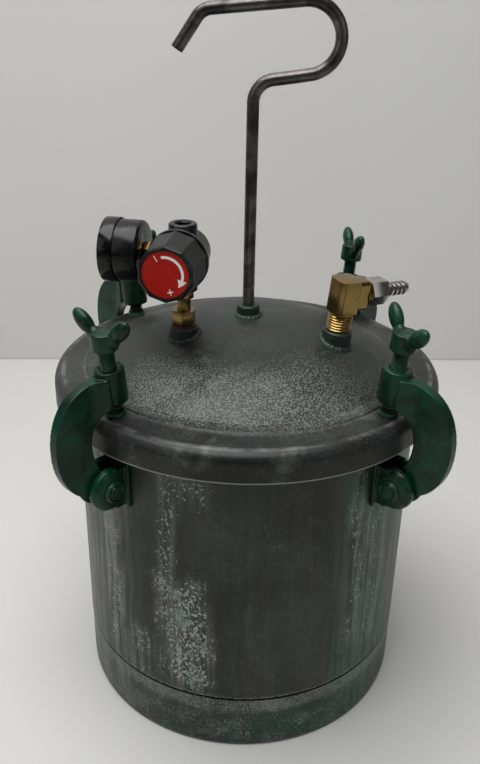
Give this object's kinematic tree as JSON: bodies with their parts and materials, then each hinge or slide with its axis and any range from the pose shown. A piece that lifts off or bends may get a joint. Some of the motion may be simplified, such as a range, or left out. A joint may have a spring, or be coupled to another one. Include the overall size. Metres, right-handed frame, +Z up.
{
  "type": "pressure pot",
  "caption": "Cylindrical pressure tank with a domed lid held by swinging C-clamps with wing screws, an air regulator with gauge, a lifting hook and a hose barb outlet.",
  "frame": {"origin": "on the tank's axis, at the underside of the foot ring", "axes": "+Z up along the tank's axis; -Y towards the side that the regulator's knob faces; +X towards the outlet"},
  "size_m": [0.274, 0.274, 0.4931],
  "materials": {
    "tank_paint": "worn satin",
    "lid_paint": "worn satin",
    "clamp_paint": "gloss",
    "steel": "machined",
    "rod_steel": "aged",
    "brass": "satin",
    "nickel": "plated",
    "gasket_rubber": "matt",
    "fibre_seal": "matt",
    "black_plastic": "matt",
    "bezel_plastic": "gloss",
    "knob_plastic": "matt",
    "red_plastic": "gloss",
    "dial_face": "matt",
    "pointer_paint": "matt",
    "lens": "clear",
    "spring_steel": "drawn"
  },
  "bodies": {
    "tank": {"tank_shell": "tank_paint", "foot_ring": "tank_paint", "bracket_front_left": "clamp_paint", "bracket_front_right": "clamp_paint", "bracket_rear_right": "clamp_paint", "bracket_rear_left": "clamp_paint", "pivot_pin_front_left": "clamp_paint", "pivot_pin_front_right": "clamp_paint", "pivot_pin_rear_right": "clamp_paint", "pivot_pin_rear_left": "clamp_paint"},
    "lid": {"lid_shell": "lid_paint", "lid_gasket": "gasket_rubber", "hook_bung": "lid_paint", "regulator_bung": "lid_paint", "outlet_bung": "lid_paint", "lifting_hook": "rod_steel", "inlet_nipple": "brass", "union_nut": "brass", "seal_washer": "fibre_seal", "regulator_body": "black_plastic", "valve_poppet": "brass", "poppet_spring": "spring_steel", "diaphragm": "gasket_rubber", "bonnet": "black_plastic", "range_spring": "spring_steel", "gauge_stem": "brass", "gauge_case": "black_plastic", "gauge_bezel": "bezel_plastic", "gauge_lens": "lens", "gauge_dial": "dial_face", "outlet_elbow": "brass", "outlet_collar": "brass", "hose_barb": "nickel", "dip_tube": "steel"},
    "knob": {"knob": "knob_plastic", "knob_disc": "red_plastic", "adjusting_screw": "steel"},
    "spring_cap": {"spring_cap": "steel"},
    "gauge_pointer": {"gauge_pointer": "pointer_paint"},
    "arm_front_left": {"clamp_arm_front_left": "clamp_paint"},
    "pad_front_left": {"pressure_pad_front_left": "clamp_paint"},
    "screw_front_left": {"wing_screw_front_left": "clamp_paint"},
    "arm_front_right": {"clamp_arm_front_right": "clamp_paint"},
    "pad_front_right": {"pressure_pad_front_right": "clamp_paint"},
    "screw_front_right": {"wing_screw_front_right": "clamp_paint"},
    "arm_rear_right": {"clamp_arm_rear_right": "clamp_paint"},
    "pad_rear_right": {"pressure_pad_rear_right": "clamp_paint"},
    "screw_rear_right": {"wing_screw_rear_right": "clamp_paint"},
    "arm_rear_left": {"clamp_arm_rear_left": "clamp_paint"},
    "pad_rear_left": {"pressure_pad_rear_left": "clamp_paint"},
    "screw_rear_left": {"wing_screw_rear_left": "clamp_paint"}
  },
  "joints": [
    {"name": "lid_turn", "type": "hinge", "parent": "tank", "child": "lid", "pos_m": [0, 0, 0.25], "axis": [0, 0, 1], "range_deg": [-20, 20]},
    {"name": "knob_turn", "type": "hinge", "parent": "lid", "child": "knob", "pos_m": [-0.04455, -0.0227, 0.337], "axis": [0.225, 0.9744, 0], "range_deg": [0, 1800]},
    {"name": "spring_cap_slide", "type": "slide", "parent": "lid", "child": "spring_cap", "axis": [0.225, 0.9744, 0], "range_m": [0, 0.005], "deforming": ["range_spring"]},
    {"name": "gauge_pointer_turn", "type": "hinge", "parent": "lid", "child": "gauge_pointer", "pos_m": [-0.0884, -0.01258, 0.337], "axis": [0.9744, -0.225, 0], "range_deg": [0, 270]},
    {"name": "clamp_swing_front_left", "type": "hinge", "parent": "tank", "child": "arm_front_left", "pos_m": [-0.09546, -0.09546, 0.206], "axis": [0.7071, -0.7071, 0], "range_deg": [0, 105]},
    {"name": "pad_lift_front_left", "type": "slide", "parent": "arm_front_left", "child": "pad_front_left", "axis": [-0.08, -0.08, 0.9936], "range_m": [0, 0.0045]},
    {"name": "wing_screw_turn_front_left", "type": "hinge", "parent": "pad_front_left", "child": "screw_front_left", "pos_m": [-0.08613, -0.08613, 0.25333], "axis": [-0.08, -0.08, 0.9936], "range_deg": [0, 1080]},
    {"name": "clamp_swing_front_right", "type": "hinge", "parent": "tank", "child": "arm_front_right", "pos_m": [0.09546, -0.09546, 0.206], "axis": [0.7071, 0.7071, 0], "range_deg": [0, 105]},
    {"name": "pad_lift_front_right", "type": "slide", "parent": "arm_front_right", "child": "pad_front_right", "axis": [0.08, -0.08, 0.9936], "range_m": [0, 0.0045]},
    {"name": "wing_screw_turn_front_right", "type": "hinge", "parent": "pad_front_right", "child": "screw_front_right", "pos_m": [0.08613, -0.08613, 0.25333], "axis": [0.08, -0.08, 0.9936], "range_deg": [0, 1080]},
    {"name": "clamp_swing_rear_right", "type": "hinge", "parent": "tank", "child": "arm_rear_right", "pos_m": [0.09207, 0.09873, 0.206], "axis": [-0.7314, 0.682, 0], "range_deg": [0, 105]},
    {"name": "pad_lift_rear_right", "type": "slide", "parent": "arm_rear_right", "child": "pad_rear_right", "axis": [0.0772, 0.0828, 0.9936], "range_m": [0, 0.0045]},
    {"name": "wing_screw_turn_rear_right", "type": "hinge", "parent": "pad_rear_right", "child": "screw_rear_right", "pos_m": [0.08307, 0.08908, 0.25333], "axis": [0.0772, 0.0828, 0.9936], "range_deg": [0, 1080]},
    {"name": "clamp_swing_rear_left", "type": "hinge", "parent": "tank", "child": "arm_rear_left", "pos_m": [-0.09546, 0.09546, 0.206], "axis": [-0.7071, -0.7071, 0], "range_deg": [0, 105]},
    {"name": "pad_lift_rear_left", "type": "slide", "parent": "arm_rear_left", "child": "pad_rear_left", "axis": [-0.08, 0.08, 0.9936], "range_m": [0, 0.0045]},
    {"name": "wing_screw_turn_rear_left", "type": "hinge", "parent": "pad_rear_left", "child": "screw_rear_left", "pos_m": [-0.08613, 0.08613, 0.25333], "axis": [-0.08, 0.08, 0.9936], "range_deg": [0, 1080]}
  ],
  "couplings": [
    {"joint": "knob_turn", "follows": "spring_cap_slide", "rad_per_m": 6283.2},
    {"joint": "wing_screw_turn_front_left", "follows": "pad_lift_front_left", "rad_per_m": 4188.8},
    {"joint": "wing_screw_turn_front_right", "follows": "pad_lift_front_right", "rad_per_m": 4188.8},
    {"joint": "wing_screw_turn_rear_right", "follows": "pad_lift_rear_right", "rad_per_m": 4188.8},
    {"joint": "wing_screw_turn_rear_left", "follows": "pad_lift_rear_left", "rad_per_m": 4188.8}
  ]
}
